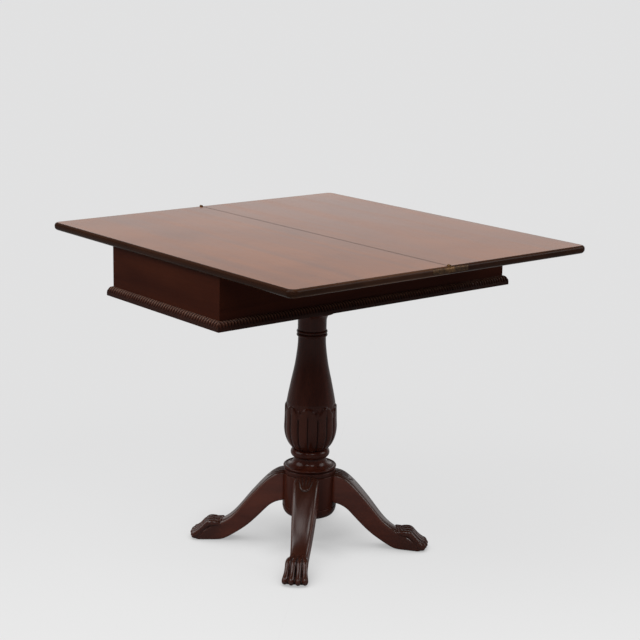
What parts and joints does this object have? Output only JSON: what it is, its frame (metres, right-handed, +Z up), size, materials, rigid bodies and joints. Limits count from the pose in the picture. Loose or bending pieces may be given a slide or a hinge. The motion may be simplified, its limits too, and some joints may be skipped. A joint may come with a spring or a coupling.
{
  "type": "games table",
  "caption": "Games table whose hinged double top unfolds and swivels on a boxed frame with a hidden well, on a turned carved column and splayed legs with paw feet.",
  "frame": {"origin": "on the floor, on the axis of the column, under the middle of the open top", "axes": "+X across the joint of the leaves, from the pivoted leaf to the folding leaf; +Y along the joint; +Z up"},
  "size_m": [0.843, 0.912, 0.7533],
  "materials": {
    "polished_top": "polished red-brown hardwood",
    "polished_frame": "polished dark red-brown hardwood",
    "polished_pedestal": "polished dark brown hardwood, carved",
    "inner_wood": "plain planed softwood",
    "aged_brass": "dulled brass",
    "dark_iron": "dark iron"
  },
  "bodies": {
    "base": {"front_apron": "polished_frame", "back_apron": "polished_frame", "left_apron": "polished_frame", "right_apron": "polished_frame", "front_moulding": "polished_frame", "back_moulding": "polished_frame", "left_moulding": "polished_frame", "right_moulding": "polished_frame", "pivot_rail": "inner_wood", "column_bearer": "inner_wood", "well_floor": "inner_wood", "left_ledger": "inner_wood", "right_ledger": "inner_wood", "column_block": "inner_wood", "corner_block_front_left": "inner_wood", "corner_block_front_right": "inner_wood", "corner_block_back_left": "inner_wood", "corner_block_back_right": "inner_wood", "column": "polished_pedestal", "hub": "polished_pedestal", "hub_base": "polished_pedestal", "leg_front": "polished_pedestal", "leg_left": "polished_pedestal", "leg_right": "polished_pedestal", "leg_back": "polished_pedestal", "hub_base_screw_1": "dark_iron", "hub_base_screw_2": "dark_iron", "hub_base_screw_3": "dark_iron", "hub_base_screw_4": "dark_iron"},
    "lower_leaf": {"lower_leaf": "polished_top", "hinge_strap_lower_front": "aged_brass", "hinge_strap_lower_back": "aged_brass", "hinge_pin_front": "aged_brass", "hinge_pin_back": "aged_brass", "hinge_screw_lower_front_1": "aged_brass", "hinge_screw_lower_front_2": "aged_brass", "hinge_screw_lower_back_1": "aged_brass", "hinge_screw_lower_back_2": "aged_brass", "pivot_plate": "dark_iron", "pivot_bolt": "dark_iron", "pivot_nut": "dark_iron", "pivot_plate_screw_1": "dark_iron", "pivot_plate_screw_2": "dark_iron", "pivot_plate_screw_3": "dark_iron", "pivot_plate_screw_4": "dark_iron", "pivot_washer": "aged_brass", "swivel_stop_peg": "inner_wood"},
    "upper_leaf": {"upper_leaf": "polished_top", "hinge_strap_upper_front": "aged_brass", "hinge_strap_upper_back": "aged_brass", "hinge_screw_upper_front_1": "aged_brass", "hinge_screw_upper_front_2": "aged_brass", "hinge_screw_upper_back_1": "aged_brass", "hinge_screw_upper_back_2": "aged_brass"}
  },
  "joints": [
    {"name": "top_swivel", "type": "hinge", "parent": "base", "child": "lower_leaf", "pos_m": [-0.10537, -0.10537, 0.732], "axis": [0, 0, 1], "range_deg": [-90, 0]},
    {"name": "leaf_fold", "type": "hinge", "parent": "lower_leaf", "child": "upper_leaf", "pos_m": [0, 0, 0.7503], "axis": [0, -1, 0], "range_deg": [0, 180]}
  ]
}
